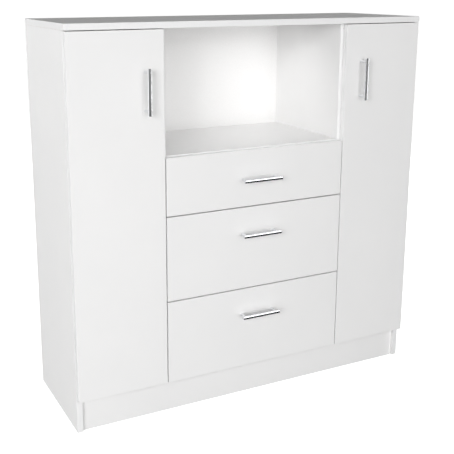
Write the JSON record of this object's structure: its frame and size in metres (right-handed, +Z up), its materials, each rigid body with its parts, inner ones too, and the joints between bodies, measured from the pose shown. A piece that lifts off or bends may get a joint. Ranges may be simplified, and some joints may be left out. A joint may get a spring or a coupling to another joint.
{
  "type": "sideboard buffet",
  "caption": "White high sideboard with long side doors, an open niche over wide drawers, bar handles and a recessed plinth.",
  "frame": {"origin": "on the floor under the middle of the whole object, handles included", "axes": "+X to the right seen from the front, +Y towards the back, +Z up; the fronts face -Y"},
  "size_m": [1.05, 0.382, 1.055],
  "materials": {
    "carcass_board": "satin",
    "front_board": "satin",
    "drawer_board": "satin",
    "hardboard": "satin",
    "polished_chrome": "polished",
    "nickel_steel": "satin",
    "zinc_steel": "satin",
    "zinc_alloy": "satin",
    "runner_paint": "satin",
    "nylon": "satin",
    "white_plastic": "satin",
    "clear_rubber": "satin",
    "beech_dowel": "matte"
  },
  "bodies": {
    "carcass": {"left_side_panel": "carcass_board", "right_side_panel": "carcass_board", "top_panel": "carcass_board", "bottom_panel": "carcass_board", "left_divider": "carcass_board", "right_divider": "carcass_board", "niche_floor": "carcass_board", "plinth_board": "carcass_board", "left_shelf_upper": "carcass_board", "left_shelf_lower": "carcass_board", "right_shelf_upper": "carcass_board", "right_shelf_lower": "carcass_board", "back_panel_left": "hardboard", "back_panel_centre": "hardboard", "back_panel_right": "hardboard", "back_panel_nails": "zinc_steel", "shelf_pins": "nickel_steel", "cam_fittings": "zinc_alloy", "wooden_dowels": "beech_dowel", "floor_glides": "white_plastic", "front_bumpers": "clear_rubber", "left_hinge_arms": "nickel_steel", "right_hinge_arms": "nickel_steel", "left_cabinet_runners": "runner_paint", "right_cabinet_runners": "runner_paint"},
    "left_door": {"left_door_panel": "front_board", "left_door_handle": "polished_chrome", "left_hinge_cups": "nickel_steel"},
    "left_hinge_link_set": {"left_hinge_links": "nickel_steel"},
    "right_door": {"right_door_panel": "front_board", "right_door_handle": "polished_chrome", "right_hinge_cups": "nickel_steel"},
    "right_hinge_link_set": {"right_hinge_links": "nickel_steel"},
    "top_drawer": {"top_drawer_front": "front_board", "top_drawer_left_side": "drawer_board", "top_drawer_right_side": "drawer_board", "top_drawer_back": "drawer_board", "top_drawer_bottom": "hardboard", "top_drawer_runners": "runner_paint", "top_drawer_handle": "polished_chrome"},
    "top_front_roller_pair": {"top_drawer_front_rollers": "nylon"},
    "top_rear_roller_pair": {"top_drawer_rear_rollers": "nylon"},
    "middle_drawer": {"middle_drawer_front": "front_board", "middle_drawer_left_side": "drawer_board", "middle_drawer_right_side": "drawer_board", "middle_drawer_back": "drawer_board", "middle_drawer_bottom": "hardboard", "middle_drawer_runners": "runner_paint", "middle_drawer_handle": "polished_chrome"},
    "middle_front_roller_pair": {"middle_drawer_front_rollers": "nylon"},
    "middle_rear_roller_pair": {"middle_drawer_rear_rollers": "nylon"},
    "bottom_drawer": {"bottom_drawer_front": "front_board", "bottom_drawer_left_side": "drawer_board", "bottom_drawer_right_side": "drawer_board", "bottom_drawer_back": "drawer_board", "bottom_drawer_bottom": "hardboard", "bottom_drawer_runners": "runner_paint", "bottom_drawer_handle": "polished_chrome"},
    "bottom_front_roller_pair": {"bottom_drawer_front_rollers": "nylon"},
    "bottom_rear_roller_pair": {"bottom_drawer_rear_rollers": "nylon"}
  },
  "joints": [
    {"name": "left_door_hinge", "type": "hinge", "parent": "carcass", "child": "left_door", "pos_m": [-0.519, -0.152, 0.566], "axis": [0, 0, -1], "range_deg": [0, 105]},
    {"name": "left_hinge_link_pivot", "type": "hinge", "parent": "carcass", "child": "left_hinge_link_set", "pos_m": [-0.502, -0.145, 0.566], "axis": [0, 0, -1], "range_deg": [0, 90]},
    {"name": "right_door_hinge", "type": "hinge", "parent": "carcass", "child": "right_door", "pos_m": [0.519, -0.152, 0.566], "axis": [0, 0, 1], "range_deg": [0, 105]},
    {"name": "right_hinge_link_pivot", "type": "hinge", "parent": "carcass", "child": "right_hinge_link_set", "pos_m": [0.502, -0.145, 0.566], "axis": [0, 0, 1], "range_deg": [0, 90]},
    {"name": "top_drawer_slide", "type": "slide", "parent": "carcass", "child": "top_drawer", "axis": [0, -1, 0], "range_m": [0, 0.225]},
    {"name": "top_front_roller_spin", "type": "hinge", "parent": "carcass", "child": "top_front_roller_pair", "pos_m": [0, -0.1295, 0.5907], "axis": [1, 0, 0], "range_deg": [0, 1620]},
    {"name": "top_rear_roller_spin", "type": "hinge", "parent": "top_drawer", "child": "top_rear_roller_pair", "pos_m": [0, 0.147, 0.5905], "axis": [1, 0, 0], "range_deg": [0, 1620]},
    {"name": "middle_drawer_slide", "type": "slide", "parent": "carcass", "child": "middle_drawer", "axis": [0, -1, 0], "range_m": [0, 0.225]},
    {"name": "middle_front_roller_spin", "type": "hinge", "parent": "carcass", "child": "middle_front_roller_pair", "pos_m": [0, -0.1295, 0.3577], "axis": [1, 0, 0], "range_deg": [0, 1620]},
    {"name": "middle_rear_roller_spin", "type": "hinge", "parent": "middle_drawer", "child": "middle_rear_roller_pair", "pos_m": [0, 0.147, 0.3575], "axis": [1, 0, 0], "range_deg": [0, 1620]},
    {"name": "bottom_drawer_slide", "type": "slide", "parent": "carcass", "child": "bottom_drawer", "axis": [0, -1, 0], "range_m": [0, 0.225]},
    {"name": "bottom_front_roller_spin", "type": "hinge", "parent": "carcass", "child": "bottom_front_roller_pair", "pos_m": [0, -0.1295, 0.1247], "axis": [1, 0, 0], "range_deg": [0, 1620]},
    {"name": "bottom_rear_roller_spin", "type": "hinge", "parent": "bottom_drawer", "child": "bottom_rear_roller_pair", "pos_m": [0, 0.147, 0.1245], "axis": [1, 0, 0], "range_deg": [0, 1620]}
  ],
  "couplings": [
    {"joint": "left_hinge_link_pivot", "follows": "left_door_hinge", "ratio": 0.85},
    {"joint": "right_hinge_link_pivot", "follows": "right_door_hinge", "ratio": 0.85},
    {"joint": "top_front_roller_spin", "follows": "top_drawer_slide", "rad_per_m": 125},
    {"joint": "top_rear_roller_spin", "follows": "top_drawer_slide", "rad_per_m": 125},
    {"joint": "middle_front_roller_spin", "follows": "middle_drawer_slide", "rad_per_m": 125},
    {"joint": "middle_rear_roller_spin", "follows": "middle_drawer_slide", "rad_per_m": 125},
    {"joint": "bottom_front_roller_spin", "follows": "bottom_drawer_slide", "rad_per_m": 125},
    {"joint": "bottom_rear_roller_spin", "follows": "bottom_drawer_slide", "rad_per_m": 125}
  ]
}
